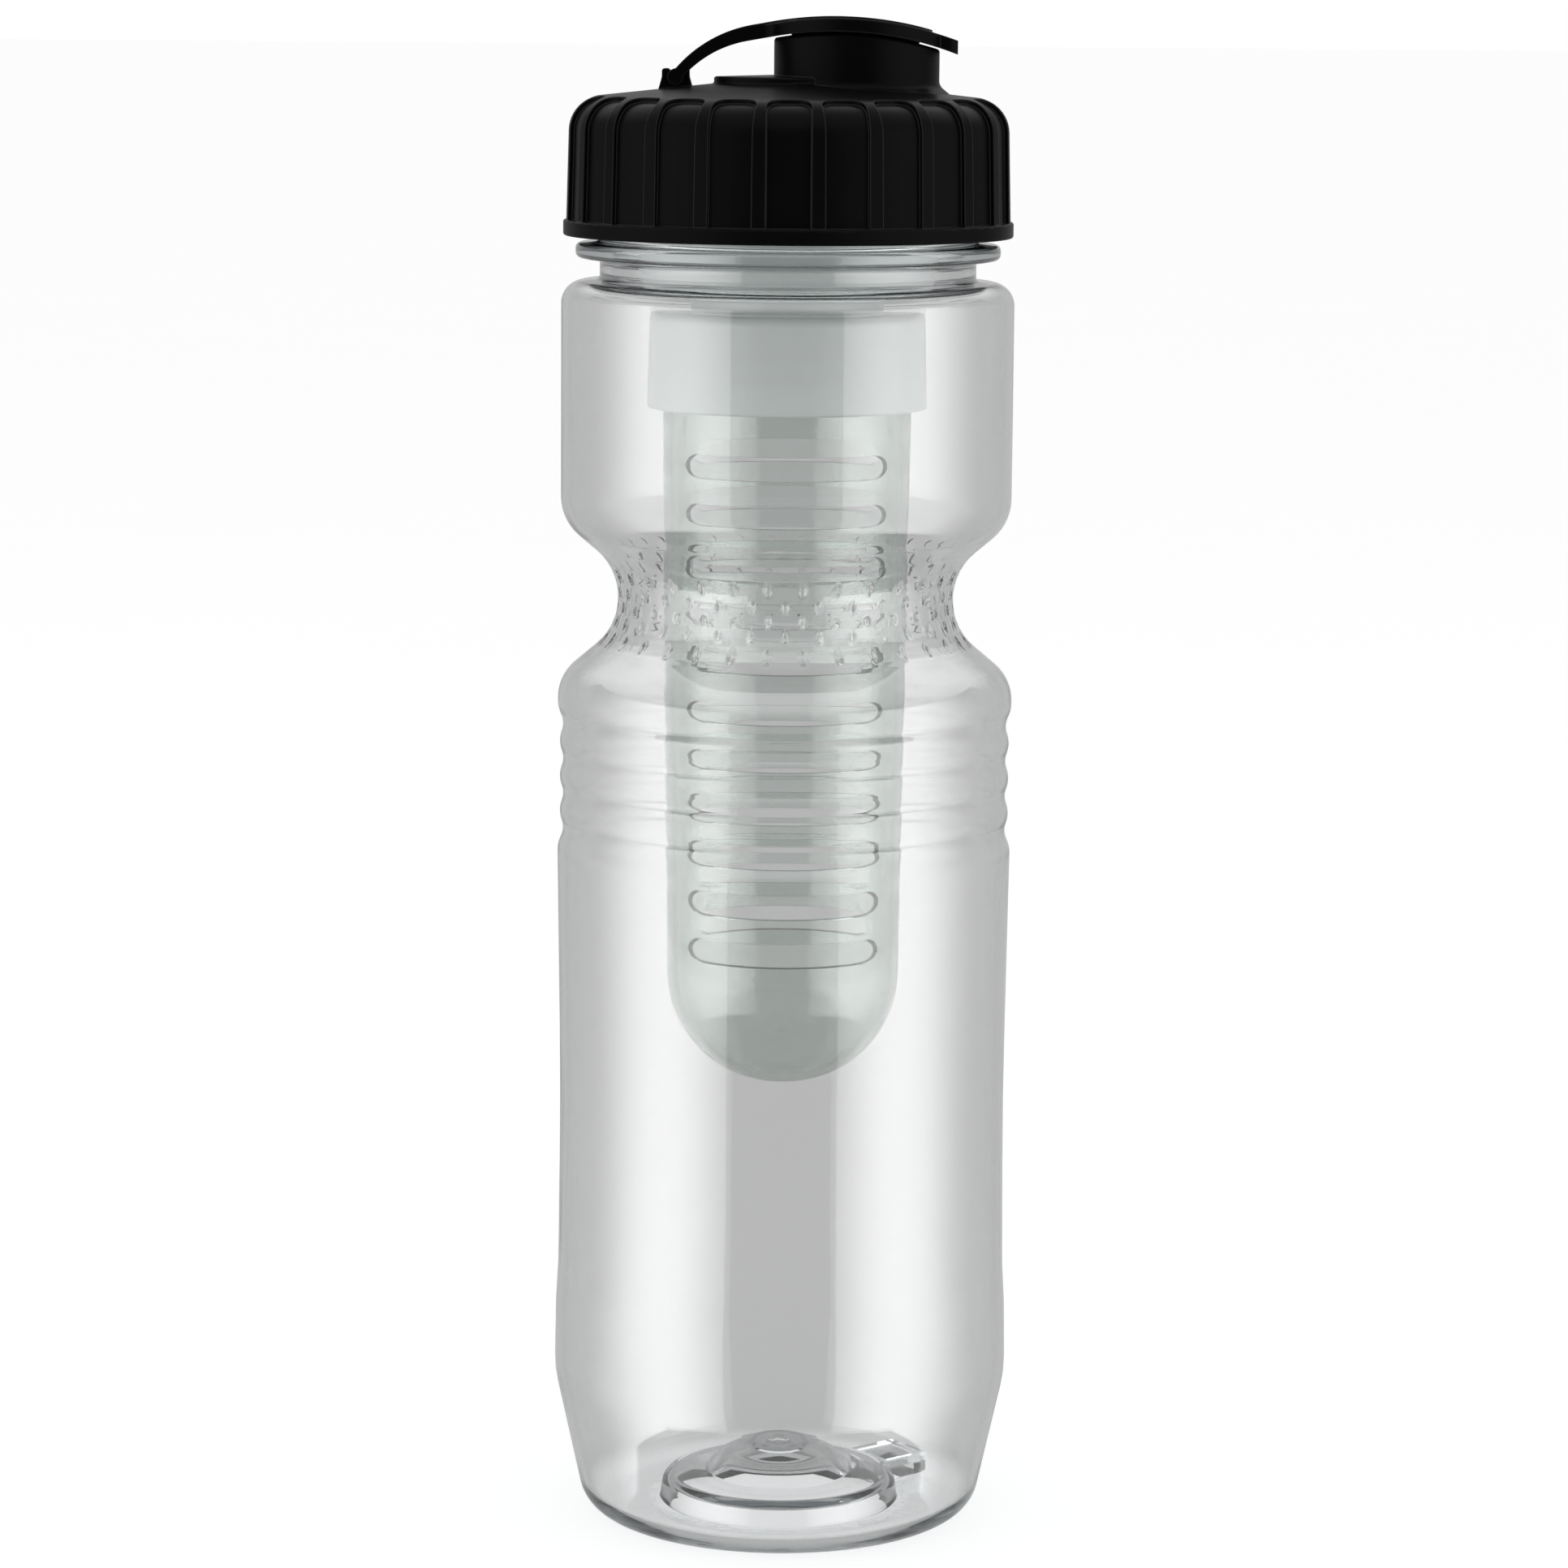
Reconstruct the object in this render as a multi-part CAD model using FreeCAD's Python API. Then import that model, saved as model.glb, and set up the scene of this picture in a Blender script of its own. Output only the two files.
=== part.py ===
"""Fruit infuser water bottle, in millimetres, standing on z = 0 with its axis on +Z.

A clear waisted bottle takes a black screw lid. The lid carries a short drinking spout, closed by a flip cap
whose strap swings on a bar snapped into a cradle on the lid. Under the lid hangs the infuser: a holder pushed
up into a socket, and a slotted basket that goes up into the holder's collar. The bottle is one moulding, given
as four lengths that meet face to face.
"""

import FreeCAD, Part
import math
import os

from FreeCAD import Vector

# How far a cutter or a joined piece reaches past the face that it meets, and what counts as touching.
OVERRUN = 3.0
TOUCH = 0.0001

# Bottle, from the foot upwards; swells and the neck's inset are measured from the radius of the upper grip.
BODY_RADIUS = 36.5
WALL = 1.2
BASE_WALL = 1.8
PUSH_UP_RADIUS = 4.2
PUSH_UP_HEIGHT = 11.4
MOUND_RADIUS = 11.0
MOUND_HEIGHT = 6.2
MOUND_BLEND = 3.0
FOOT_INNER_RADIUS = 18.4
FOOT_STEP_RUN = 0.9
FOOT_STEP_HEIGHT = 4.2
FOOT_EDGE = 0.9
BASE_CORNER = 6.0
BASE_TAPER_HEIGHT = 23.9
BASE_TAPER_DEGREES = 12.4
LOW_SWELL = 0.85
LOW_BLEND = 20.0
BAND_SWELL = 0.65
BAND_HEIGHT = 11.6
BAND_BLEND = 25.0
BAND_STEP = 0.37
BAND_STEP_HEIGHT = 6.5
PANEL_SINK = 0.05
PANEL_LOWER_HEIGHT = 28.0
PANEL_UPPER_HEIGHT = 41.5
PANEL_BLEND = 900.0
PANEL_TOP_SWELL = 0.5
RIDGE_COUNT = 4
RIDGE_SWELL = 0.35
RIDGE_PITCH = 5.75
GROOVE_DEPTH = 1.0
GROOVE_BLEND = 4.0
BULGE_SWELL = 0.45
BULGE_HEIGHT = 4.6
BULGE_BLEND = 7.0
WAIST_DEPTH = 9.3
WAIST_BLEND = 10.5
WAIST_SLOPE_DEGREES = 50.0
GRIP_LOW_BLEND = 8.0
GRIP_HEIGHT = 38.4
SHOULDER_BLEND = 3.6
SHOULDER_RISE = 0.3
NECK_INSET = 6.2
NECK_WALL = 1.9
NECK_BLEND = 0.8
NECK_STAND = 3.6
RING_REACH = 3.9
RING_HEIGHT = 2.6
RING_SLOPE = 0.3
RING_EDGE = 0.9
FINISH_HEIGHT = 19.0
LIP_EDGE = 0.6

# Registration notch, which turns the bottle to its place for printing.
NOTCH_INSET = 2.6
NOTCH_LENGTH = 5.6
NOTCH_WIDTH = 5.6
NOTCH_HEIGHT = 3.4
NOTCH_TURN_DEGREES = 38.0

# Gasket and lid.
GASKET_HEIGHT = 1.5
GASKET_OVERLAP = 0.9
GASKET_EDGE = 0.3
THREAD_ROOM = 1.7
LID_WALL = 3.25
SKIRT_DRAFT = 0.5
RIM_GAP = 1.2
RIM_STEP = 0.45
RIM_HEIGHT = 2.5
RIM_EDGE = 0.4
LID_SHOULDER_RISE = 2.4
LID_BLEND = 5.6
DOME_RISE = 2.55
LID_TOP = 2.3
PAD_RADIUS = 12.1
PAD_HEIGHT = 1.1
PAD_CROWN = 0.4
PAD_EDGE = 0.4
POCKET_COUNT = 24
POCKET_WIDTH = 7.0
POCKET_DEPTH = 0.75
POCKET_LENGTH_ON_TOP = 4.9
POCKET_CORNER = 2.6
SOCKET_ROOM = 2.25
SOCKET_WALL = 1.9
SOCKET_DEPTH = 14.0
SOCKET_EDGE = 0.5

# Spout, set off the axis towards +X, with a rim that arches along X.
SPOUT_RADIUS = 13.25
SPOUT_WALL = 2.2
SPOUT_INSET = 0.7
SPOUT_HEIGHT = 8.15
SPOUT_EDGE = 0.6
SPOUT_FLARE = 1.7
SPOUT_FLARE_HEIGHT = 1.4
SPOUT_FLARE_BLEND = 1.6
ARCH_RADIUS = 55.0
ARCH_SHIFT = 3.4

# Hinge: a cradle on the lid holds the bar of the flip cap's strap.
HINGE_FROM_PAD = 6.1
HINGE_STAND = 1.7
BAR_RADIUS = 0.9
BAR_CLEARANCE = 0.05
CRADLE_REACH = 2.2
CRADLE_FOOT = 0.8
CRADLE_WIDTH = 4.4
CRADLE_TOP = 1.3
CRADLE_EDGE = 0.4
CRADLE_MOUTH = 1.5
CRADLE_LEAD = 0.45
FORK_CLEARANCE = 0.25
FORK_REACH = 3.1
EYE_RADIUS = 1.3

# Flip cap.
CAP_GAP = 0.25
CAP_THICKNESS = 2.4
CAP_OVERHANG = 1.0
CROWN_INSET = 2.2
CROWN_HEIGHT = 0.35
TAB_REACH = 1.8
TAB_WIDTH = 11.0
TAB_CORNER = 1.6
STRAP_WIDTH = 9.0
STRAP_ROOT_BLEND = 2.5
STRAP_END_THICKNESS = 1.7
STRAP_ANGLE_DEGREES = 50.0
STRAP_BLEND = 20.0
PLUG_GAP = 0.3
PLUG_WALL = 1.4
PLUG_DEPTH = 4.4
PLUG_TAPER_DEGREES = 23.0

# Infuser holder: a cup in the lid's socket, a throat, and a collar round the basket's mouth.
CUP_CLEARANCE = 0.15
CUP_WALL = 1.6
CUP_LENGTH = 27.2
CUP_CORNER = 3.0
THROAT_RADIUS = 15.5
THROAT_WALL = 1.6
THROAT_LENGTH = 5.2
THROAT_BLEND = 0.8
BASKET_THREAD_ROOM = 0.8
COLLAR_WALL = 1.7
COLLAR_DRAFT = 0.4
COLLAR_TOP = 1.8
COLLAR_LENGTH = 15.7
COLLAR_CORNER = 1.6
COLLAR_EDGE = 0.4

# Infuser basket.
BASKET_RADIUS = 20.1
BASKET_DRAFT = 1.4
BASKET_WALL = 1.5
BASKET_LENGTH = 124.6
BASKET_EDGE = 0.4
BASKET_BLEND = 40.0
TIP_ROUND_SHARE = 0.97
SLOT_COUNT = 11
SLOT_HEIGHT_SHARE = 0.4975
SLOTS_FROM_TOP = 18.48
SLOTS_FROM_TIP = 19.88
SLOT_REACH_DEGREES = 50.0

# Shares used where one size is a part of another.
SMALLEST_ROUND_SHARE = 0.3

# Radii and heights of the bottle that follow from the sizes above.
LOW_RADIUS = BODY_RADIUS + LOW_SWELL
FOOT_RADIUS = LOW_RADIUS - BASE_TAPER_HEIGHT * math.tan(math.radians(BASE_TAPER_DEGREES))
BAND_RADIUS = BODY_RADIUS + BAND_SWELL
BAND_Z = BASE_TAPER_HEIGHT + BAND_HEIGHT
PANEL_LOW_Z = BAND_Z + BAND_STEP_HEIGHT
PANEL_MID_Z = PANEL_LOW_Z + PANEL_LOWER_HEIGHT
PANEL_TOP_Z = PANEL_MID_Z + PANEL_UPPER_HEIGHT
BULGE_RADIUS = BODY_RADIUS + BULGE_SWELL
BULGE_LOW_Z = PANEL_TOP_Z + RIDGE_COUNT * RIDGE_PITCH
BULGE_TOP_Z = BULGE_LOW_Z + BULGE_HEIGHT
WAIST_SLOPE = math.radians(WAIST_SLOPE_DEGREES)
WAIST_CORNER_RADIUS = BODY_RADIUS - WAIST_DEPTH - WAIST_BLEND * (1 / math.cos(WAIST_SLOPE) - 1)
WAIST_Z = BULGE_TOP_Z + (BULGE_RADIUS - WAIST_CORNER_RADIUS) / math.tan(WAIST_SLOPE)
GRIP_LOW_Z = WAIST_Z + (BODY_RADIUS - WAIST_CORNER_RADIUS) / math.tan(WAIST_SLOPE)
SHOULDER_Z = GRIP_LOW_Z + GRIP_HEIGHT
NECK_RADIUS = BODY_RADIUS - NECK_INSET
NECK_BORE = NECK_RADIUS - NECK_WALL
RING_RADIUS = NECK_RADIUS + RING_REACH
RING_Z = SHOULDER_Z + NECK_STAND
RING_TOP_Z = RING_Z + RING_HEIGHT
MOUTH_Z = RING_TOP_Z + FINISH_HEIGHT

# The same for the lid, the socket under it, the spout and the hinge.
LID_BORE = NECK_RADIUS + THREAD_ROOM
SKIRT_TOP_RADIUS = LID_BORE + LID_WALL
SKIRT_LOW_RADIUS = SKIRT_TOP_RADIUS + SKIRT_DRAFT
RIM_RADIUS = SKIRT_LOW_RADIUS + RIM_STEP
RIM_Z = RING_TOP_Z + RIM_GAP
RIM_TOP_Z = RIM_Z + RIM_HEIGHT
CEILING_Z = MOUTH_Z + GASKET_HEIGHT
LID_SHOULDER_Z = CEILING_Z + LID_SHOULDER_RISE
DOME_Z = LID_SHOULDER_Z + DOME_RISE
DOME_SLOPE = DOME_RISE / (SKIRT_TOP_RADIUS - PAD_RADIUS)
SOCKET_OUTER_RADIUS = NECK_BORE - SOCKET_ROOM
SOCKET_RADIUS = SOCKET_OUTER_RADIUS - SOCKET_WALL
CUP_RADIUS = SOCKET_RADIUS - CUP_CLEARANCE
CUP_BORE = CUP_RADIUS - CUP_WALL
SEAT_Z = DOME_Z - DOME_SLOPE * (SOCKET_RADIUS - PAD_RADIUS) - LID_TOP
SOCKET_LOW_Z = SEAT_Z - SOCKET_DEPTH
SPOUT_BORE = SPOUT_RADIUS - SPOUT_WALL
SPOUT_X = CUP_BORE - SPOUT_BORE - SPOUT_INSET
ARCH_X = SPOUT_X - ARCH_SHIFT
ARCH_Z = DOME_Z + SPOUT_HEIGHT - ARCH_RADIUS
CAP_IN_RADIUS = ARCH_RADIUS + CAP_GAP
CAP_OUT_RADIUS = CAP_IN_RADIUS + CAP_THICKNESS
CAP_RADIUS = SPOUT_RADIUS + CAP_OVERHANG
HINGE_X = -PAD_RADIUS - HINGE_FROM_PAD
HINGE_Z = DOME_Z - DOME_SLOPE * HINGE_FROM_PAD + HINGE_STAND

# The same for the infuser.
CUP_FLOOR_Z = SEAT_Z - CUP_LENGTH
THROAT_BORE = THROAT_RADIUS - THROAT_WALL
COLLAR_TOP_Z = CUP_FLOOR_Z - THROAT_LENGTH
COLLAR_LOW_Z = COLLAR_TOP_Z - COLLAR_LENGTH
COLLAR_BORE = BASKET_RADIUS + BASKET_THREAD_ROOM
COLLAR_RADIUS = COLLAR_BORE + COLLAR_WALL
BASKET_TOP_Z = COLLAR_TOP_Z - COLLAR_TOP
BASKET_TIP_Z = BASKET_TOP_Z - BASKET_LENGTH
TIP_RADIUS = BASKET_RADIUS - BASKET_DRAFT
SLOT_PITCH = (BASKET_LENGTH - SLOTS_FROM_TOP - SLOTS_FROM_TIP) / SLOT_COUNT
SLOT_HEIGHT = SLOT_PITCH * SLOT_HEIGHT_SHARE

AXIS = Vector(0, 0, 1)
ORIGIN = Vector(0, 0, 0)
ALONG_Y = Vector(0, 1, 0)


def point(x, z):
    return Vector(x, 0, z)


def cross(a, b):
    return a.x * b.z - a.z * b.x


def rounded_edges(corners):
    """Edges in the XZ plane through corners (x, z, radius), each rounded by an arc that fits its runs."""
    points = [point(x, z) for x, z, radius in corners]
    runs = [b - a for a, b in zip(points, points[1:])]
    wanted = [0] * len(points)
    for i in range(1, len(points) - 1):
        wanted[i] = corners[i][2] * math.tan(runs[i - 1].getAngle(runs[i]) / 2)
    cut = list(wanted)
    for i, run in enumerate(runs):
        asked = wanted[i] + wanted[i + 1]
        if asked > run.Length:
            for j in (i, i + 1):
                cut[j] = min(cut[j], wanted[j] * run.Length / asked)
    edges = []
    at = points[0]
    for i in range(1, len(points)):
        into = Vector(runs[i - 1]).normalize()
        stop = points[i] - into * cut[i]
        if (stop - at).Length > TOUCH:
            edges.append(Part.LineSegment(at, stop).toShape())
            at = stop
        if cut[i] > TOUCH:
            out = Vector(runs[i]).normalize()
            far = points[i] + out * cut[i]
            half_turn = into.getAngle(out) / 2
            radius = cut[i] / math.tan(half_turn)
            middle = points[i] + (out - into).normalize() * (radius / math.cos(half_turn) - radius)
            edges.append(Part.Arc(at, middle, far).toShape())
            at = far
    return edges


def closed_face(corners):
    """Face inside a ring of corners; the ring is entered in the middle of its closing run."""
    first, last = corners[0], corners[-1]
    entry = ((first[0] + last[0]) / 2, (first[1] + last[1]) / 2, 0)
    return Part.Face(Part.Wire(rounded_edges([entry] + corners + [entry])))


def turned(corners):
    """Solid of revolution about the axis."""
    return closed_face(corners).revolve(ORIGIN, AXIS, 360)


def slab(face, width):
    """Face in the XZ plane drawn out to a width that is centred on the plane."""
    face.translate(ALONG_Y * (-width / 2))
    return face.extrude(ALONG_Y * width)


def rod(x, z, radius, width):
    """Round bar along Y, centred on the XZ plane."""
    return Part.makeCylinder(radius, width, Vector(x, -width / 2, z), ALONG_Y)


def offset_corners(corners, walls):
    """The corners moved to the left of their runs by each run's wall, with radii to match."""
    points = [point(x, z) for x, z, radius in corners]
    runs = [(b - a).normalize() for a, b in zip(points, points[1:])]
    shifts = [point(-run.z, run.x) * wall for run, wall in zip(runs, walls)]
    start = points[0] + shifts[0]
    moved = [(start.x, start.z, 0)]
    for i in range(1, len(points) - 1):
        a = points[i] + shifts[i - 1]
        b = points[i] + shifts[i]
        turn = cross(runs[i - 1], runs[i])
        corner = a + runs[i - 1] * (cross(b - a, runs[i]) / turn)
        radius = corners[i][2]
        inside = max(radius - walls[i], radius * SMALLEST_ROUND_SHARE)
        moved.append((corner.x, corner.z, inside if turn > 0 else radius + walls[i]))
    end = points[-1] + shifts[-1]
    moved.append((end.x, end.z, 0))
    return moved


def bottle_wall():
    """Outside corners of the bottle from axis to mouth, without the ring, and the wall of each run."""
    corners = [
        (0, PUSH_UP_HEIGHT, 0),
        (PUSH_UP_RADIUS, PUSH_UP_HEIGHT, MOUND_BLEND),
        (MOUND_RADIUS, MOUND_HEIGHT, MOUND_BLEND),
        (FOOT_INNER_RADIUS - FOOT_STEP_RUN, FOOT_STEP_HEIGHT, FOOT_EDGE),
        (FOOT_INNER_RADIUS, 0, FOOT_EDGE),
        (FOOT_RADIUS, 0, BASE_CORNER),
    ]
    base_runs = len(corners) - 1
    corners += [
        (LOW_RADIUS, BASE_TAPER_HEIGHT, LOW_BLEND),
        (BAND_RADIUS, BAND_Z, BAND_BLEND),
        (BAND_RADIUS - BAND_STEP, PANEL_LOW_Z, BAND_BLEND),
        (BODY_RADIUS - PANEL_SINK, PANEL_MID_Z, PANEL_BLEND),
        (BODY_RADIUS + PANEL_TOP_SWELL, PANEL_TOP_Z, GROOVE_BLEND),
    ]
    ridge = BODY_RADIUS + RIDGE_SWELL
    for i in range(RIDGE_COUNT):
        z = PANEL_TOP_Z + i * RIDGE_PITCH
        if i:
            corners.append((ridge, z, GROOVE_BLEND))
        corners.append((ridge - GROOVE_DEPTH, z + RIDGE_PITCH / 2, GROOVE_BLEND))
    corners += [
        (BULGE_RADIUS, BULGE_LOW_Z, GROOVE_BLEND),
        (BULGE_RADIUS, BULGE_TOP_Z, BULGE_BLEND),
        (WAIST_CORNER_RADIUS, WAIST_Z, WAIST_BLEND),
        (BODY_RADIUS, GRIP_LOW_Z, GRIP_LOW_BLEND),
        (BODY_RADIUS, SHOULDER_Z, SHOULDER_BLEND),
        (NECK_RADIUS, SHOULDER_Z + SHOULDER_RISE, NECK_BLEND),
        (NECK_RADIUS, MOUTH_Z, 0),
    ]
    side_runs = len(corners) - 2 - base_runs
    return corners, [BASE_WALL] * base_runs + [WALL] * side_runs + [NECK_WALL]


def notch(grow):
    """Block of the registration notch, grown on every side but the floor."""
    length = NOTCH_LENGTH + 2 * grow
    width = NOTCH_WIDTH + 2 * grow
    start = Vector(FOOT_INNER_RADIUS + NOTCH_INSET - grow, -width / 2, 0)
    block = Part.makeBox(length, width, NOTCH_HEIGHT + grow, start)
    block.rotate(ORIGIN, AXIS, NOTCH_TURN_DEGREES)
    return block


def bottle():
    outside, walls = bottle_wall()
    inside = offset_corners(outside, walls)
    ring = [
        (NECK_RADIUS, RING_Z, NECK_BLEND),
        (RING_RADIUS, RING_Z + RING_SLOPE, RING_EDGE),
        (RING_RADIUS, RING_TOP_Z, RING_EDGE),
        (NECK_RADIUS, RING_TOP_Z + RING_SLOPE, NECK_BLEND),
    ]
    lip = [(NECK_RADIUS, MOUTH_Z, LIP_EDGE), (NECK_BORE, MOUTH_Z, LIP_EDGE)]
    shell = turned(outside[:-1] + ring + lip + inside[-2::-1])
    return shell.fuse(notch(BASE_WALL)).cut(notch(0)).removeSplitter()


def bottle_lengths():
    """The bottle cut across in the panel, at the bulge and half way up the grip."""
    whole = bottle()
    far = LOW_RADIUS + OVERRUN
    names = ("bottle_foot", "bottle_body", "bottle_waist", "bottle_neck")
    levels = (-OVERRUN, PANEL_MID_Z, BULGE_TOP_Z, GRIP_LOW_Z + GRIP_HEIGHT / 2, MOUTH_Z + OVERRUN)
    lengths = {}
    for name, low_z, high_z in zip(names, levels, levels[1:]):
        block = Part.makeBox(2 * far, 2 * far, high_z - low_z, Vector(-far, -far, low_z))
        lengths[name] = whole.common(block)
    return lengths


def lid_gasket():
    inner = NECK_BORE - GASKET_OVERLAP
    outer = NECK_RADIUS + GASKET_OVERLAP
    return turned([
        (inner, MOUTH_Z, GASKET_EDGE),
        (outer, MOUTH_Z, GASKET_EDGE),
        (outer, CEILING_Z, GASKET_EDGE),
        (inner, CEILING_Z, GASKET_EDGE),
    ])


def lid_shell():
    """Skirt, domed top with its pad, and the socket ring that hangs under the top."""
    pad_z = DOME_Z + PAD_HEIGHT
    return turned([
        (LID_BORE, RIM_Z, RIM_EDGE),
        (RIM_RADIUS, RIM_Z, RIM_EDGE),
        (RIM_RADIUS, RIM_TOP_Z, RIM_EDGE),
        (SKIRT_LOW_RADIUS, RIM_TOP_Z, 0),
        (SKIRT_TOP_RADIUS, LID_SHOULDER_Z, LID_BLEND),
        (PAD_RADIUS, DOME_Z, PAD_EDGE),
        (PAD_RADIUS, pad_z, PAD_EDGE),
        (0, pad_z + PAD_CROWN, 0),
        (0, DOME_Z - LID_TOP, 0),
        (PAD_RADIUS, DOME_Z - LID_TOP, 0),
        (CUP_BORE, SEAT_Z, 0),
        (SOCKET_RADIUS, SEAT_Z, 0),
        (SOCKET_RADIUS, SOCKET_LOW_Z, SOCKET_EDGE),
        (SOCKET_OUTER_RADIUS, SOCKET_LOW_Z, SOCKET_EDGE),
        (SOCKET_OUTER_RADIUS, CEILING_Z, 0),
        (LID_BORE, CEILING_Z, 0),
    ])


def lid_pockets():
    """Recesses between the grip ribs: a layer of even depth, taken out inside a round-ended outline."""
    skirt = [
        (SKIRT_LOW_RADIUS, RIM_TOP_Z, 0),
        (SKIRT_TOP_RADIUS, LID_SHOULDER_Z, LID_BLEND),
        (PAD_RADIUS, DOME_Z, 0),
    ]
    floor = offset_corners(skirt, [POCKET_DEPTH] * 2)
    far = RIM_RADIUS + OVERRUN
    high_z = DOME_Z + OVERRUN
    layer = turned(floor + [(PAD_RADIUS, high_z, 0), (far, high_z, 0), (far, RIM_TOP_Z, 0)])
    end = SKIRT_TOP_RADIUS - POCKET_LENGTH_ON_TOP
    outline = Part.makeBox(far - end, POCKET_WIDTH, high_z - RIM_Z, Vector(end, -POCKET_WIDTH / 2, RIM_Z))
    inner_edges = [e for e in outline.Edges if e.BoundBox.ZLength > TOUCH and e.BoundBox.XMax < end + TOUCH]
    pocket = layer.common(outline.makeFillet(POCKET_CORNER, inner_edges))
    pockets = []
    for i in range(POCKET_COUNT):
        copy = pocket.copy()
        copy.rotate(ORIGIN, AXIS, 360 * i / POCKET_COUNT - 90)
        pockets.append(copy)
    return Part.makeCompound(pockets)


def spout():
    """Round spout that flares at its root, half way into the lid's top, with its rim cut to the arch."""
    flare = SPOUT_RADIUS + SPOUT_FLARE
    far_z = DOME_Z - DOME_SLOPE * (SPOUT_X + flare - PAD_RADIUS)
    root_z = (far_z + DOME_Z - LID_TOP) / 2
    flare_z = far_z + SPOUT_FLARE_HEIGHT
    top_z = root_z + SPOUT_HEIGHT + LID_TOP
    tube = turned([
        (0, root_z, 0),
        (flare, root_z, 0),
        (flare, far_z, 0),
        (SPOUT_RADIUS, flare_z, SPOUT_FLARE_BLEND),
        (SPOUT_RADIUS, top_z, 0),
        (0, top_z, 0),
    ])
    tube.translate(Vector(SPOUT_X, 0, 0))
    tube = tube.common(rod(ARCH_X, ARCH_Z, ARCH_RADIUS, 2 * ARCH_RADIUS))
    rim = [e for e in tube.Edges if e.BoundBox.ZMin > flare_z + SPOUT_FLARE_BLEND and e.Length > SPOUT_RADIUS]
    return tube.makeFillet(SPOUT_EDGE, rim)


def cradle():
    """Snap cradle for the strap's bar: a footed block with a round seat, open upwards between two lips."""
    root_z = HINGE_Z - HINGE_STAND - LID_TOP / 2
    foot = CRADLE_REACH + CRADLE_FOOT
    top_z = HINGE_Z + CRADLE_TOP
    block = slab(closed_face([
        (HINGE_X - foot, root_z, 0),
        (HINGE_X + foot, root_z, 0),
        (HINGE_X + CRADLE_REACH, HINGE_Z, CRADLE_REACH),
        (HINGE_X + CRADLE_REACH, top_z, CRADLE_EDGE),
        (HINGE_X - CRADLE_REACH, top_z, CRADLE_EDGE),
        (HINGE_X - CRADLE_REACH, HINGE_Z, CRADLE_REACH),
    ]), CRADLE_WIDTH)
    half = CRADLE_MOUTH / 2
    wide = half + CRADLE_LEAD
    mouth = slab(closed_face([
        (HINGE_X - half, HINGE_Z, 0),
        (HINGE_X + half, HINGE_Z, 0),
        (HINGE_X + half, HINGE_Z + BAR_RADIUS, 0),
        (HINGE_X + wide, top_z, 0),
        (HINGE_X + wide, top_z + OVERRUN, 0),
        (HINGE_X - wide, top_z + OVERRUN, 0),
        (HINGE_X - wide, top_z, 0),
        (HINGE_X - half, HINGE_Z + BAR_RADIUS, 0),
    ]), CRADLE_WIDTH + OVERRUN)
    seat = rod(HINGE_X, HINGE_Z, BAR_RADIUS + BAR_CLEARANCE, CRADLE_WIDTH + OVERRUN)
    return block.cut(mouth).cut(seat)


def screw_lid():
    lid = lid_shell().cut(lid_pockets())
    lid = lid.fuse([spout(), cradle()])
    bore = Part.makeCylinder(SPOUT_BORE, SPOUT_HEIGHT + LID_TOP + OVERRUN, Vector(SPOUT_X, 0, SEAT_Z))
    return lid.cut(bore).removeSplitter()


def cap_section():
    """Side view of the flip cap: the arched plate runs on into the strap, which thins towards the hinge."""
    lean = math.asin((ARCH_X - SPOUT_X + SPOUT_RADIUS) / CAP_IN_RADIUS)
    rise = math.radians(STRAP_ANGLE_DEGREES)
    tangent = point(-math.cos(lean), -math.sin(lean))
    along = point(math.cos(rise), math.sin(rise))
    across = point(-math.sin(rise), math.cos(rise)) * (STRAP_END_THICKNESS / 2)
    centre = point(ARCH_X, ARCH_Z)
    end_x = SPOUT_X + CAP_RADIUS + TAB_REACH + OVERRUN
    hinge = point(HINGE_X, HINGE_Z)
    sides = []
    for radius, side in ((CAP_OUT_RADIUS, 1), (CAP_IN_RADIUS, -1)):
        start = centre + point(-math.sin(lean), math.cos(lean)) * radius
        stop = hinge + across * side
        corner = start + tangent * (cross(stop - start, along) / cross(tangent, along))
        tip = point(end_x, ARCH_Z + math.sqrt(radius ** 2 - (end_x - ARCH_X) ** 2))
        blend = STRAP_BLEND + side * STRAP_END_THICKNESS / 2
        edges = [Part.Arc(tip, centre + AXIS * radius, start).toShape()]
        edges += rounded_edges([(start.x, start.z, 0), (corner.x, corner.z, blend), (stop.x, stop.z, 0)])
        sides.append((tip, stop, edges))
    (tip, stop, upper), (low_tip, low_stop, lower) = sides
    ends = [Part.LineSegment(stop, low_stop).toShape(), Part.LineSegment(low_tip, tip).toShape()]
    return Part.Face(Part.Wire(Part.__sortEdges__(upper + lower + ends)))


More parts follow.
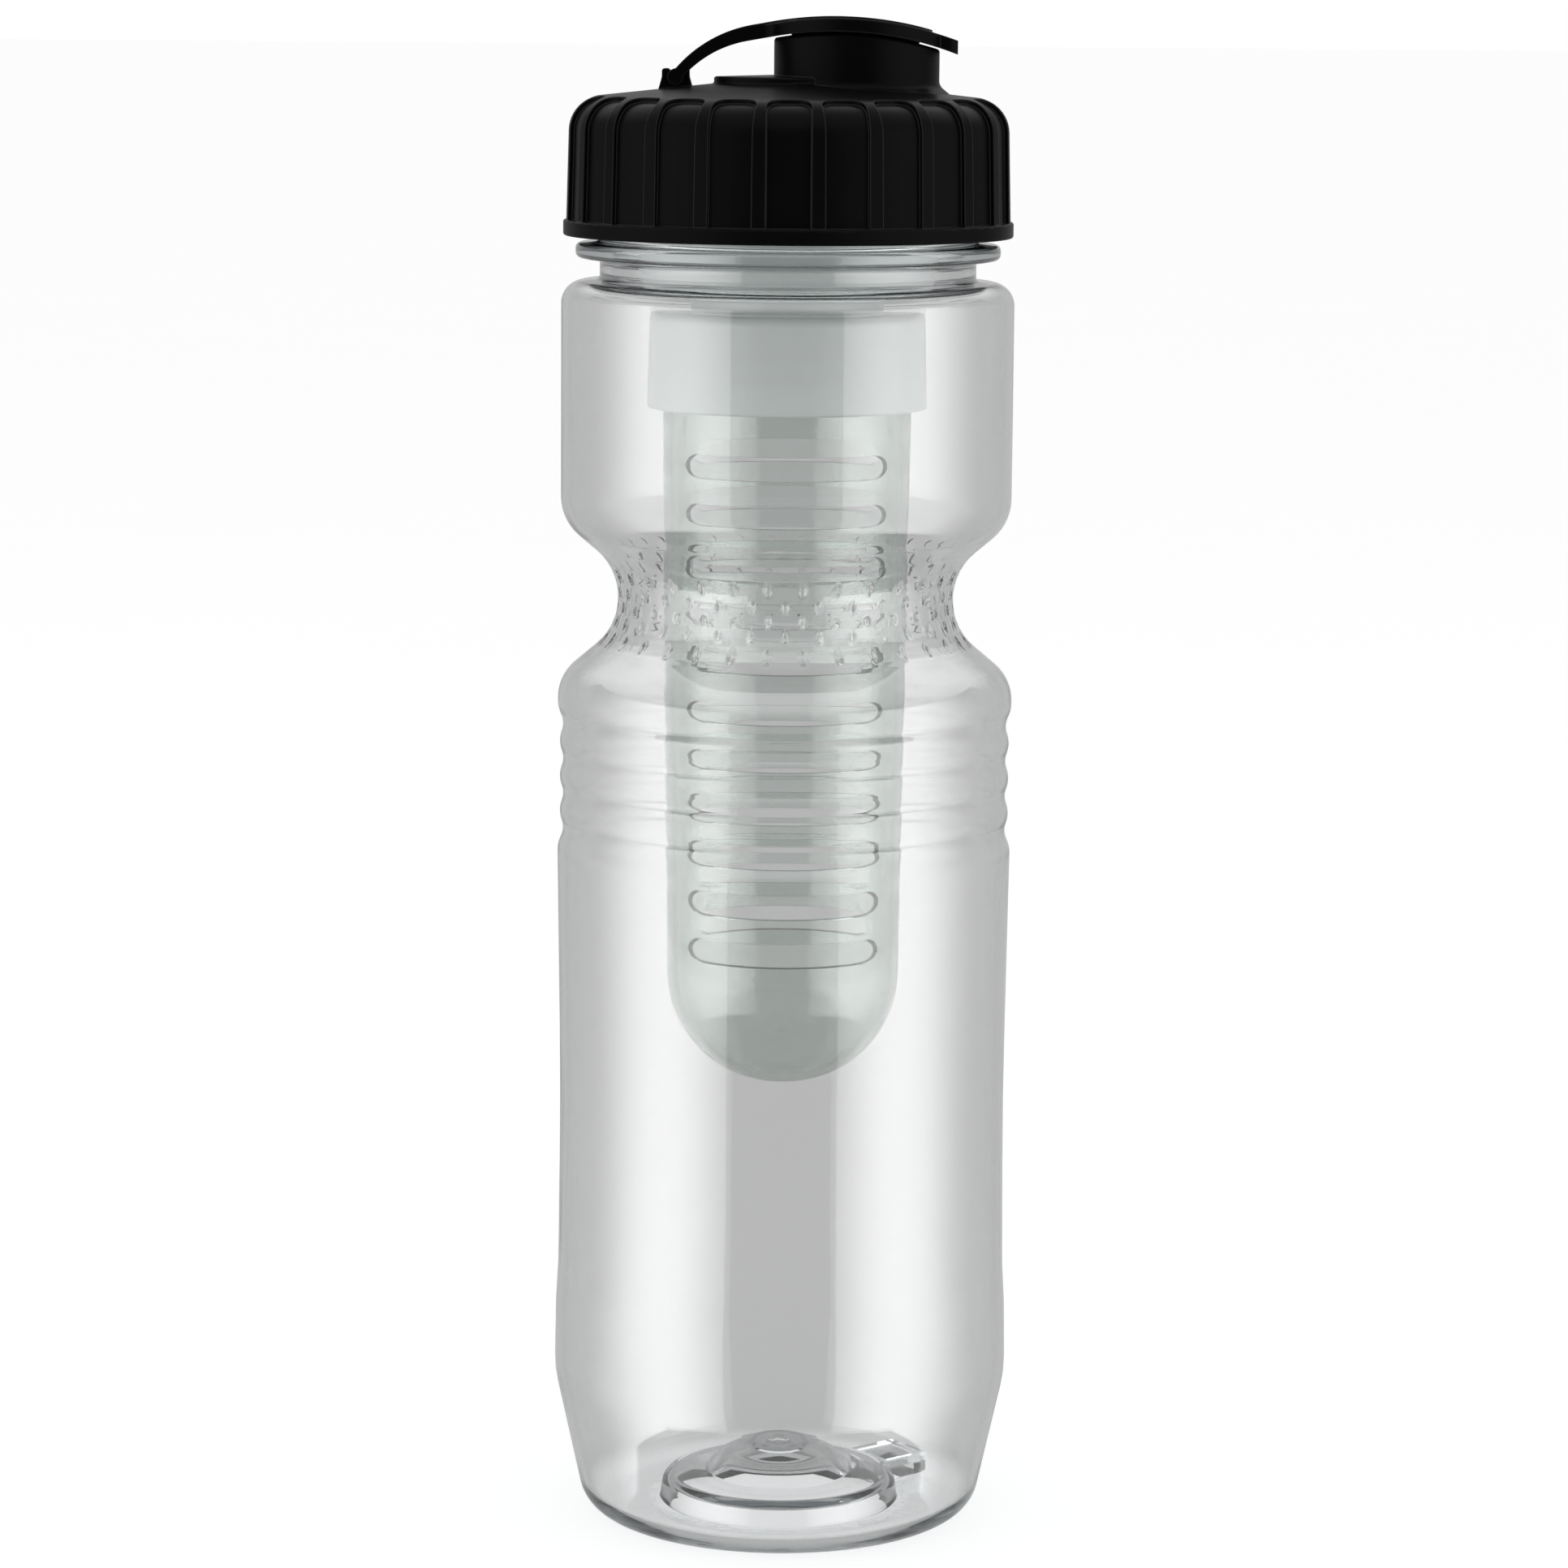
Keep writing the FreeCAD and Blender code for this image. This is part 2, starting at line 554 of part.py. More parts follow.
def cap_outline(low_z, height):
    """Plan of the flip cap drawn upwards: disc, strap and thumb tab in one outline."""
    disc = Part.makeCylinder(CAP_RADIUS, height, Vector(SPOUT_X, 0, low_z))
    strap_start = HINGE_X - OVERRUN
    strap_corner = Vector(strap_start, -STRAP_WIDTH / 2, low_z)
    strap = Part.makeBox(SPOUT_X - strap_start, STRAP_WIDTH, height, strap_corner)
    tab = Part.makeBox(CAP_RADIUS + TAB_REACH, TAB_WIDTH, height, Vector(SPOUT_X, -TAB_WIDTH / 2, low_z))
    outline = disc.fuse([strap, tab]).removeSplitter()
    uprights = [e for e in outline.Edges if e.BoundBox.ZLength > height - TOUCH]
    roots = [e for e in uprights if strap_start + TOUCH < e.BoundBox.XMin < SPOUT_X]
    outline = outline.makeFillet(STRAP_ROOT_BLEND, roots)
    tip_x = SPOUT_X + CAP_RADIUS + TAB_REACH
    uprights = [e for e in outline.Edges if e.BoundBox.ZLength > height - TOUCH]
    return outline.makeFillet(TAB_CORNER, [e for e in uprights if e.BoundBox.XMin > tip_x - TOUCH])


def cap_ledge(low_z, height):
    """Low ledge round the crown of the disc, left out where the strap runs on to it."""
    width = 2 * CAP_OUT_RADIUS
    layer = rod(ARCH_X, ARCH_Z, CAP_OUT_RADIUS + OVERRUN, width)
    layer = layer.cut(rod(ARCH_X, ARCH_Z, CAP_OUT_RADIUS - CROWN_HEIGHT, width))
    crown = Part.makeCylinder(CAP_RADIUS - CROWN_INSET, height, Vector(SPOUT_X, 0, low_z))
    reach = SPOUT_X - HINGE_X + OVERRUN
    strap = Part.makeBox(reach, STRAP_WIDTH, height, Vector(SPOUT_X - reach, -STRAP_WIDTH / 2, low_z))
    span = CAP_RADIUS + TAB_REACH + OVERRUN
    around = Part.makeBox(2 * span, 2 * span, height, Vector(SPOUT_X - span, -span, low_z))
    return layer.common(around).cut(crown).cut(strap)


def cap_plug():
    """Tapered sealing ring under the plate, narrow enough at its end to swing out of the spout."""
    top_z = ARCH_Z + CAP_IN_RADIUS
    low_z = top_z - PLUG_DEPTH
    taper = math.tan(math.radians(PLUG_TAPER_DEGREES))
    root = SPOUT_BORE - PLUG_GAP
    end = root - PLUG_DEPTH * taper
    middle = CAP_THICKNESS / 2
    head = root + middle * taper
    ring = turned([
        (end, low_z, 0),
        (head, top_z + middle, 0),
        (head - PLUG_WALL, top_z + middle, 0),
        (end - PLUG_WALL, low_z, 0),
    ])
    ring.translate(Vector(SPOUT_X, 0, 0))
    return ring.common(rod(ARCH_X, ARCH_Z, CAP_IN_RADIUS + middle, 2 * ARCH_RADIUS))


def flip_cap():
    low_z = HINGE_Z - OVERRUN
    height = ARCH_Z + CAP_OUT_RADIUS + OVERRUN - low_z
    plate = slab(cap_section(), 2 * (CAP_RADIUS + OVERRUN))
    plate = plate.common(cap_outline(low_z, height)).cut(cap_ledge(low_z, height))
    gap = CRADLE_WIDTH + 2 * FORK_CLEARANCE
    plate = plate.cut(rod(HINGE_X, HINGE_Z, FORK_REACH, gap))
    eyes = rod(HINGE_X, HINGE_Z, EYE_RADIUS, STRAP_WIDTH).cut(rod(HINGE_X, HINGE_Z, FORK_REACH, gap))
    bar = rod(HINGE_X, HINGE_Z, BAR_RADIUS, STRAP_WIDTH)
    return plate.fuse([eyes, bar, cap_plug()]).removeSplitter()


def infuser_holder():
    return turned([
        (CUP_BORE, SEAT_Z, 0),
        (CUP_RADIUS, SEAT_Z, COLLAR_EDGE),
        (CUP_RADIUS, CUP_FLOOR_Z, CUP_CORNER),
        (THROAT_RADIUS, CUP_FLOOR_Z, THROAT_BLEND),
        (THROAT_RADIUS, COLLAR_TOP_Z, THROAT_BLEND),
        (COLLAR_RADIUS - COLLAR_DRAFT, COLLAR_TOP_Z, COLLAR_CORNER),
        (COLLAR_RADIUS, COLLAR_LOW_Z, COLLAR_EDGE),
        (COLLAR_BORE, COLLAR_LOW_Z, COLLAR_EDGE),
        (COLLAR_BORE, BASKET_TOP_Z, 0),
        (THROAT_BORE, BASKET_TOP_Z, 0),
        (THROAT_BORE, CUP_FLOOR_Z + CUP_WALL, THROAT_BLEND),
        (CUP_BORE, CUP_FLOOR_Z + CUP_WALL, max(CUP_CORNER - CUP_WALL, CUP_CORNER * SMALLEST_ROUND_SHARE)),
    ])


def basket_slots():
    """Slots through the front and the back of the basket, as wide as the taper lets them be."""
    reach = math.sin(math.radians(SLOT_REACH_DEGREES))
    slots = []
    for i in range(SLOT_COUNT):
        z = BASKET_TOP_Z - SLOTS_FROM_TOP - (2 * i + 1) * SLOT_PITCH / 2
        share = (COLLAR_LOW_Z - z) / (COLLAR_LOW_Z - BASKET_TIP_Z)
        half = (BASKET_RADIUS - BASKET_DRAFT * share) * reach
        end = SLOT_HEIGHT / 2
        outline = closed_face([
            (half, z + end, end),
            (half, z - end, end),
            (-half, z - end, end),
            (-half, z + end, end),
        ])
        slots.append(slab(outline, 2 * BASKET_RADIUS + OVERRUN))
    return Part.makeCompound(slots)


def infuser_basket():
    outside = [
        (0, BASKET_TIP_Z, 0),
        (TIP_RADIUS, BASKET_TIP_Z, TIP_RADIUS * TIP_ROUND_SHARE),
        (BASKET_RADIUS, COLLAR_LOW_Z, BASKET_BLEND),
        (BASKET_RADIUS, BASKET_TOP_Z, 0),
    ]
    inside = offset_corners(outside, [BASKET_WALL] * (len(outside) - 1))
    mouth = BASKET_RADIUS - BASKET_WALL
    lip = [(BASKET_RADIUS, BASKET_TOP_Z, BASKET_EDGE), (mouth, BASKET_TOP_Z, BASKET_EDGE)]
    return turned(outside[:-1] + lip + inside[-2::-1]).cut(basket_slots())


solids = bottle_lengths()
for make in (lid_gasket, screw_lid, flip_cap, infuser_holder, infuser_basket):
    solids[make.__name__] = make()
os.makedirs("parts", exist_ok=True)
for name, solid in solids.items():
    solid.exportStep("parts/" + name + ".step")
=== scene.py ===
"""Clear waisted water bottle with a black screw lid, flip cap and fruit infuser, dressed round its solids."""
import math

import bmesh
import bpy
from mathutils import Matrix, Vector


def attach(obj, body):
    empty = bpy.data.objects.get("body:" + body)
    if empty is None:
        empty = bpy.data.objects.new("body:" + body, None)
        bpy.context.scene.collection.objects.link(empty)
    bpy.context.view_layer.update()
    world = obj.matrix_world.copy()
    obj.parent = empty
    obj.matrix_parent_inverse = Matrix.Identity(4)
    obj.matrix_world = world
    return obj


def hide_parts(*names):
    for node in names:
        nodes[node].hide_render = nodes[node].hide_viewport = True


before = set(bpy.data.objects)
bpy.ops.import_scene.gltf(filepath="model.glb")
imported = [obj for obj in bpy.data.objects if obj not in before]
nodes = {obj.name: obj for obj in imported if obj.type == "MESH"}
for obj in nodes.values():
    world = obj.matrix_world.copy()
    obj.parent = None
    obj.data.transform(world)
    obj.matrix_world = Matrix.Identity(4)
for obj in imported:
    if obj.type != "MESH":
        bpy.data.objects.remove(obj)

MM = 0.001
TURN = 2 * math.pi
TOUCH = 1e-6
scene = bpy.context.scene
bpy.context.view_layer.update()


# ---------------------------------------------------------------- node trees

class Wire:
    """One output of a node, with arithmetic."""

    def __init__(self, tree, socket):
        self.tree = tree
        self.socket = socket

    def math(self, operation, *values):
        return add(self.tree, "ShaderNodeMath", {"operation": operation}, dict(enumerate(values)))

    def __add__(self, other):
        return self.math("ADD", self, other)

    def __radd__(self, other):
        return self.math("ADD", other, self)

    def __sub__(self, other):
        return self.math("SUBTRACT", self, other)

    def __rsub__(self, other):
        return self.math("SUBTRACT", other, self)

    def __mul__(self, other):
        return self.math("MULTIPLY", self, other)

    def __rmul__(self, other):
        return self.math("MULTIPLY", other, self)

    def __truediv__(self, other):
        return self.math("DIVIDE", self, other)

    def __rtruediv__(self, other):
        return self.math("DIVIDE", other, self)

    def __neg__(self):
        return self.math("MULTIPLY", self, -1.0)

    def __abs__(self):
        return self.math("ABSOLUTE", self)

    def sin(self):
        return self.math("SINE", self)

    def cos(self):
        return self.math("COSINE", self)

    def angle_over(self, other):
        """The angle whose tangent is this over the other."""
        return self.math("ARCTAN2", self, other)

    def root(self):
        return self.math("SQRT", self)

    def round(self):
        return self.math("ROUND", self)

    def at_most(self, limit):
        return self.math("MINIMUM", self, limit)

    def smooth(self, low, high):
        """0 below low, 1 above high, and a soft step between them."""
        return add(self.tree, "ShaderNodeMapRange", {"interpolation_type": "SMOOTHSTEP"},
                   {0: self, 1: low, 2: high})

    def scaled(self, low, high, start, stop):
        """low to high mapped to start to stop, and held there outside."""
        return add(self.tree, "ShaderNodeMapRange", {}, {0: self, 1: low, 2: high, 3: start, 4: stop})


def add(tree, kind, settings=None, values=None, out=0):
    """Adds a node: its settings first, then each input by name or number, as a value or a link."""
    node = tree.nodes.new(kind)
    for key, value in (settings or {}).items():
        setattr(node, key, value)
    for key, value in (values or {}).items():
        if isinstance(value, Wire):
            tree.links.new(value.socket, node.inputs[key])
        else:
            node.inputs[key].default_value = value
    return Wire(tree, node.outputs[out])


def outputs(wire, *names):
    """Other outputs of the node that wire comes from."""
    return [Wire(wire.tree, wire.socket.node.outputs[name]) for name in names]


def xyz(vector):
    return outputs(add(vector.tree, "ShaderNodeSeparateXYZ", {}, {0: vector}), "X", "Y", "Z")


def joined(tree, x, y, z):
    return add(tree, "ShaderNodeCombineXYZ", {}, {0: x, 1: y, 2: z})


def dot(a, b):
    return add(a.tree, "ShaderNodeVectorMath", {"operation": "DOT_PRODUCT"}, {0: a, 1: b}, "Value")


# ---------------------------------------------------------------- materials

NOISE_LOW, NOISE_HIGH = 0.3, 0.7  # the range in which most of a noise lies


def shader(name):
    """A new material's tree, its output node and the object's own coordinates."""
    material = bpy.data.materials.new(name)
    material.use_nodes = True
    tree = material.node_tree
    tree.nodes.clear()
    target = tree.nodes.new("ShaderNodeOutputMaterial")
    where = add(tree, "ShaderNodeTexCoord", {}, {}, "Object")
    return material, tree, target, where


def noise(where, scale, detail=2.0, roughness=0.5, distortion=0.0):
    return add(where.tree, "ShaderNodeTexNoise", {}, {
        "Vector": where, "Scale": scale, "Detail": detail, "Roughness": roughness,
        "Distortion": distortion})


def spread(pattern, start, stop):
    """A noise mapped to start to stop."""
    return pattern.scaled(NOISE_LOW, NOISE_HIGH, start, stop)


def stretched(where, x, y, z):
    return add(where.tree, "ShaderNodeVectorMath", {"operation": "MULTIPLY"}, {0: where, 1: (x, y, z)})


def blend_colour(factor, a, b):
    return add(factor.tree, "ShaderNodeMix", {"data_type": "RGBA"}, {0: factor, 6: a, 7: b}, 2)


def bump(height, strength, distance):
    return add(height.tree, "ShaderNodeBump", {}, {
        "Strength": strength, "Distance": distance, "Height": height})


def lets_light_by(surface, shade):
    """The surface, but clear for the light that falls on what is behind it."""
    tree = surface.tree
    shadow_ray = add(tree, "ShaderNodeLightPath", {}, {}, "Is Shadow Ray")
    diffuse_ray, = outputs(shadow_ray, "Is Diffuse Ray")
    passed = add(tree, "ShaderNodeBsdfTransparent", {}, {"Color": shade})
    inner = add(tree, "ShaderNodeMixShader", {}, {0: diffuse_ray, 1: surface, 2: passed})
    return add(tree, "ShaderNodeMixShader", {}, {0: shadow_ray, 1: inner, 2: passed})


def clear_plastic(name, light, dark, roughness, depth_tint, depth_density, shade):
    """Clear moulded plastic with faint flow marks, darker where the eye looks along the wall."""
    material, tree, target, where = shader(name)
    flow = noise(stretched(where, 1.0, 1.0, 0.25), 60.0, detail=3.0, distortion=0.6)
    fine = noise(where, 900.0)
    surface = add(tree, "ShaderNodeBsdfPrincipled", {}, {
        "Base Color": blend_colour(flow, light, dark),
        "Roughness": spread(fine, roughness * 0.6, roughness * 1.4),
        "IOR": 1.57,
        "Transmission Weight": 1.0,
        "Normal": bump(flow, 0.12, 0.3 * MM),
    })
    depth = add(tree, "ShaderNodeVolumeAbsorption", {}, {"Color": depth_tint, "Density": depth_density})
    tree.links.new(lets_light_by(surface, shade).socket, target.inputs["Surface"])
    tree.links.new(depth.socket, target.inputs["Volume"])
    return material


def milky_plastic(name):
    """Translucent plastic with a soft inner haze."""
    material, tree, target, where = shader(name)
    haze = noise(stretched(where, 1.0, 1.0, 0.4), 90.0, detail=3.0)
    fine = noise(where, 1400.0)
    surface = add(tree, "ShaderNodeBsdfPrincipled", {}, {
        "Base Color": blend_colour(haze, (0.80, 0.84, 0.822, 1.0), (0.76, 0.80, 0.782, 1.0)),
        "Roughness": spread(fine, 0.16, 0.26),
        "IOR": 1.49,
        "Transmission Weight": 0.36,
        "Normal": bump(fine, 0.08, 0.05 * MM),
    })
    passed = lets_light_by(surface, (0.72, 0.75, 0.75, 1.0))
    tree.links.new(passed.socket, target.inputs["Surface"])
    return material


def black_plastic(name):
    """Black satin plastic with a fine moulded grain; its rounded edges carry a painted highlight, a paler
    base colour.
    """
    material, tree, target, where = shader(name)
    grain = noise(where, 2600.0)
    cloud = noise(where, 45.0, detail=3.0)
    edge = add(tree, "ShaderNodeBevel", {"samples": 6}, {"Radius": 0.35 * MM})
    face = add(tree, "ShaderNodeNewGeometry", {}, {}, "Normal")
    # painted highlight: the base colour turns paler where the bevel normal leaves the face normal, along
    # rounded edges
    edge_highlight_paint = (1.0 - dot(edge, face)).smooth(0.005, 0.08)
    relief = add(tree, "ShaderNodeBump", {}, {
        "Strength": 0.16, "Distance": 0.05 * MM, "Height": grain, "Normal": edge})
    plain = blend_colour(cloud, (0.0016, 0.0016, 0.0017, 1.0), (0.0026, 0.0026, 0.0027, 1.0))
    surface = add(tree, "ShaderNodeBsdfPrincipled", {}, {
        # the paler colour here is the painted edge highlight
        "Base Color": blend_colour(edge_highlight_paint, plain, (0.03, 0.03, 0.031, 1.0)),
        "Roughness": spread(cloud, 0.32, 0.40),
        "IOR": 1.5,
        "Specular IOR Level": 0.02,
        "Normal": relief,
    })
    tree.links.new(surface.socket, target.inputs["Surface"])
    return material


def silicone(name):
    """Matte white silicone."""
    material, tree, target, where = shader(name)
    cloud = noise(where, 160.0, detail=3.0)
    grain = noise(where, 3000.0)
    surface = add(tree, "ShaderNodeBsdfPrincipled", {}, {
        "Base Color": blend_colour(cloud, (0.80, 0.81, 0.80, 1.0), (0.70, 0.715, 0.705, 1.0)),
        "Roughness": spread(cloud, 0.5, 0.62),
        "IOR": 1.41,
        "Normal": bump(grain, 0.2, 0.04 * MM),
    })
    tree.links.new(surface.socket, target.inputs["Surface"])
    return material


CLEAR = clear_plastic(
    "clear_bottle_plastic",
    light=(0.885, 0.882, 0.881, 1.0), dark=(0.865, 0.863, 0.862, 1.0), roughness=0.02,
    depth_tint=(0.70, 0.745, 0.76, 1.0), depth_density=90.0, shade=(0.97, 0.972, 0.974, 1.0))
TINTED = clear_plastic(
    "tinted_basket_plastic",
    light=(0.895, 0.912, 0.898, 1.0), dark=(0.87, 0.893, 0.878, 1.0), roughness=0.03,
    depth_tint=(0.68, 0.77, 0.71, 1.0), depth_density=190.0, shade=(0.90, 0.92, 0.905, 1.0))
MILKY = milky_plastic("milky_holder_plastic")
BLACK = black_plastic("black_lid_plastic")
SILICONE = silicone("gasket_silicone")

for node, material in (
    ("screw_lid", BLACK), ("flip_cap", BLACK), ("lid_gasket", SILICONE),
    ("infuser_holder", MILKY), ("infuser_basket", TINTED),
):
    for entry in nodes[node].material_slots:
        entry.material = material


# ---------------------------------------------------------------- bottle, in millimetres until it is a mesh

RIDGE_PITCH = 5.75
RIDGE_COUNT = 4
PANEL_TOP_Z = 111.5
BULGE_TOP_Z = 139.1
WAIST_Z = 152.1775
MOUTH_Z = 228.4774
NECK_RADIUS = 30.3
BASE_WALL = 1.8
SIDE_WALL = 1.2
NECK_WALL = 1.9
ROUND_SHARE = 0.3  # the least share of its radius that a rounded corner keeps inside

# The outside from the axis under the foot to the mouth: radius, height and corner radius.
BASE = [
    (0, 9.2, 0), (1.6, 9.2, 0.2), (2.0, 9.5, 0.2), (4.0, 9.4, 0.2), (4.4, 9.1, 0.2), (8.6, 7.8, 4),
    (11.4, 4.9, 0.3), (17.6, 4.2, 0.4), (18.2, 0, 0.4), (32.0953, 0, 6),
]
PANEL = [
    (37.35, 23.9, 20), (37.15, 35.5, 25), (36.78, 42, 25), (36.45, 70, 900), (37.0, PANEL_TOP_Z, 4),
]
RIDGES = [
    corner
    for i in range(RIDGE_COUNT)
    for corner in (
        (36.85, PANEL_TOP_Z + i * RIDGE_PITCH, 4),
        (35.85, PANEL_TOP_Z + (i + 0.5) * RIDGE_PITCH, 4),
    )
][1:]
GRIP = [
    (36.95, PANEL_TOP_Z + RIDGE_COUNT * RIDGE_PITCH, 4), (36.95, BULGE_TOP_Z, 7),
    (21.3649, WAIST_Z, 10.5), (36.5, 164.8774, 8), (36.5, 203.2774, 3.6), (NECK_RADIUS, 203.5774, 0.8),
]
RING = [
    (NECK_RADIUS, 206.8774, 0.8), (34.2, 207.1774, 0.9), (34.2, 209.4774, 0.9),
    (NECK_RADIUS, 209.7774, 0.8),
]
LIP = [(NECK_RADIUS, MOUTH_Z, 0.6), (NECK_RADIUS - NECK_WALL, MOUTH_Z, 0.6)]

ARC_STEP = math.radians(8)
FULL_ARC_RADIUS = 3.0  # smaller arcs have fewer steps
COARSE_GAP = 5.0
DENT_GAP = 0.3
THREAD_GAP = 0.42
DENT_LOW_Z = 144.0
DENT_HIGH_Z = 158.4
THREAD_LOW_Z = 211.6
THREAD_HIGH_Z = 226.6
COLUMNS = 144
FINE = 4  # columns round the dents for each plain column
SHARP_EDGE = math.radians(55)


def offset(corners, walls):
    """The corners moved to the left of their runs by each run's wall, with radii to match."""
    points = [Vector((r, z)) for r, z, radius in corners]
    runs = [(b - a).normalized() for a, b in zip(points, points[1:])]
    shifts = [Vector((-run.y, run.x)) * wall for run, wall in zip(runs, walls)]
    moved = [(*(points[0] + shifts[0]), 0)]
    for i in range(1, len(points) - 1):
        a = points[i] + shifts[i - 1]
        b = points[i] + shifts[i]
        turn = runs[i - 1].cross(runs[i])
        corner = a + runs[i - 1] * ((b - a).cross(runs[i]) / turn)
        radius = corners[i][2]
        inside = max(radius - walls[i], radius * ROUND_SHARE)
        moved.append((*corner, inside if turn > 0 else radius + walls[i]))
    moved.append((*(points[-1] + shifts[-1]), 0))
    return moved


def rounded(corners):
    """Points through the corners (r, z, radius), each rounded by an arc that fits its runs."""
    points = [Vector((r, z)) for r, z, radius in corners]
    runs = [b - a for a, b in zip(points, points[1:])]
    wanted = [0.0] * len(points)
    for i in range(1, len(points) - 1):
        wanted[i] = corners[i][2] * math.tan(runs[i - 1].angle(runs[i]) / 2)
    cut = list(wanted)
    for i, run in enumerate(runs):
        asked = wanted[i] + wanted[i + 1]
        if asked > run.length:
            for j in (i, i + 1):
                cut[j] = min(cut[j], wanted[j] * run.length / asked)
    path = [points[0]]
    for i in range(1, len(points) - 1):
        if cut[i] < TOUCH:
            path.append(points[i])
            continue
        into, out = runs[i - 1].normalized(), runs[i].normalized()
        half = into.angle(out) / 2
        radius = cut[i] / math.tan(half)
        inward = (out - into).normalized()
        along = (into + out).normalized()
        centre = points[i] + inward * (radius / math.cos(half))
        detail = min(1.0, math.sqrt(radius / FULL_ARC_RADIUS))
        steps = max(2, math.ceil(2 * half / ARC_STEP * detail))
        for k in range(steps + 1):
            angle = half * (2 * k / steps - 1)
            path.append(centre + (along * math.sin(angle) - inward * math.cos(angle)) * radius)
    path.append(points[-1])
    return [p for i, p in enumerate(path) if i == 0 or (p - path[i - 1]).length > TOUCH]


def spaced(path, gap):
    """The path with points added, so that no step is longer than gap(z)."""
    filled = [path[0]]
    for a, b in zip(path, path[1:]):
        count = max(1, math.ceil((b - a).length / gap((a.y + b.y) / 2) - TOUCH))
        filled += [a.lerp(b, (k + 1) / count) for k in range(count)]
    return filled


def in_dents(z):
    return DENT_LOW_Z < z < DENT_HIGH_Z


def outside_gap(z):
    if in_dents(z):
        return DENT_GAP
    return THREAD_GAP if THREAD_LOW_Z < z < THREAD_HIGH_Z else COARSE_GAP


def inside_gap(z):
    return COARSE_GAP


def bottle_rows():
    """Rows (radius, z, 1 outside or 0 inside) from the axis under the foot, over the mouth, to the axis."""
    plain = BASE + PANEL + RIDGES + GRIP
    walls = [BASE_WALL] * (len(BASE) - 1) + [SIDE_WALL] * (len(plain) - len(BASE)) + [NECK_WALL]
    inner = offset(plain + [(NECK_RADIUS, MOUTH_Z, 0)], walls)[-2::-1]
    whole = rounded(plain + RING + LIP + inner)
    top = max(range(len(whole)), key=lambda i: (whole[i].y, -whole[i].x))
    rows = [(p.x, p.y, 1.0) for p in spaced(whole[:top + 1], outside_gap)]
    rows += [(p.x, p.y, 0.0) for p in spaced(whole[top:], inside_gap)[1:]]
    return rows


def turned_mesh(name, rows):
    """A closed turned mesh with finer columns where the dents are; its attribute is 1 on the outside."""
    points, sides, rings, faces = [], [], [], []
    for radius, z, side in rows:
        count = COLUMNS * FINE if side and in_dents(z) else COLUMNS
        count = 1 if radius < TOUCH else count
        rings.append((len(points), count))
        for j in range(count):
            angle = TURN * j / count
            points.append((radius * math.cos(angle) * MM, radius * math.sin(angle) * MM, z * MM))
            sides.append(side)
    for (low, many), (high, more) in zip(rings, rings[1:]):
        columns = max(many, more) if 1 in (many, more) else min(many, more)
        for j in range(columns):
            faces.append(ring_arc(low, many, j, columns) + ring_arc(high, more, j, columns)[::-1])
    mesh = bpy.data.meshes.new(name)
    mesh.from_pydata(points, [], faces)
    mesh.attributes.new("side", "FLOAT", "POINT").data.foreach_set("value", sides)
    return mesh


def ring_arc(first, count, column, columns):
    """Vertices of a ring from one column to the next."""
    if count == 1:
        return [first]
    share = count // columns
    return [first + (column * share + k) % count for k in range(share + 1)]


def geometry_tree(name, numbers):
    """A geometry tree with a geometry, named numbers and a plastic to go in; returns it and its wires."""
    tree = bpy.data.node_groups.new(name, "GeometryNodeTree")
    tree.interface.new_socket("Geometry", in_out="INPUT", socket_type="NodeSocketGeometry")
    for label in numbers:
        tree.interface.new_socket(label, in_out="INPUT", socket_type="NodeSocketFloat")
    tree.interface.new_socket("Plastic", in_out="INPUT", socket_type="NodeSocketMaterial")
    tree.interface.new_socket("Geometry", in_out="OUTPUT", socket_type="NodeSocketGeometry")
    entry = tree.nodes.new("NodeGroupInput")
    return tree, {socket.name: Wire(tree, socket) for socket in entry.outputs if socket.name}


def close_tree(tree, geometry, material):
    """Realizes the instances, gives the material and ends the tree."""
    real = add(tree, "GeometryNodeRealizeInstances", {}, {0: geometry})
    dressed = add(tree, "GeometryNodeSetMaterial", {}, {"Geometry": real, "Material": material})
    smooth = add(tree, "GeometryNodeSetShadeSmooth", {}, {"Geometry": dressed})
    tree.links.new(smooth.socket, tree.nodes.new("NodeGroupOutput").inputs[0])


def grown(name, mesh, tree, values):
    """The plain mesh object that a geometry tree makes of a mesh with these inputs."""
    source = bpy.data.objects.new(name + "_source", mesh)
    scene.collection.objects.link(source)
    modifier = source.modifiers.new("grow", "NODES")
    modifier.node_group = tree
    for item in tree.interface.items_tree:
        if item.in_out == "INPUT" and item.name in values:
            modifier[item.identifier] = values[item.name]
    evaluated = source.evaluated_get(bpy.context.evaluated_depsgraph_get())
    made = bpy.data.meshes.new_from_object(evaluated)
    made.name = name
    bpy.data.objects.remove(source)
    piece = bpy.data.objects.new(name, made)
    scene.collection.objects.link(piece)
    return piece


DENT_ROWS = [  # height of the row's middle, width and height of a dent, and half a step to the side
    (156.3, 1.5, 2.4, 0.5), (153.5, 1.4, 2.1, 0.0), (151.2, 1.3, 2.0, 0.5), (148.9, 1.3, 2.1, 0.0),
    (146.0, 1.5, 2.5, 0.5),
]
DENT_RIM = 0.75  # how far in from its outline a dent reaches its depth
NECK_THREAD_LEAD = 0.09  # share of a turn over which the neck's thread rises at its ends
NECK_THREAD_EDGE = 0.2 * MM
RIDGE_LEAD = 0.05  # share of its length over which a ridge rises at its ends
RIDGE_STEPS = 260
RIDGE_SIDES = 13
SEAM_GAP = 0.004 * MM


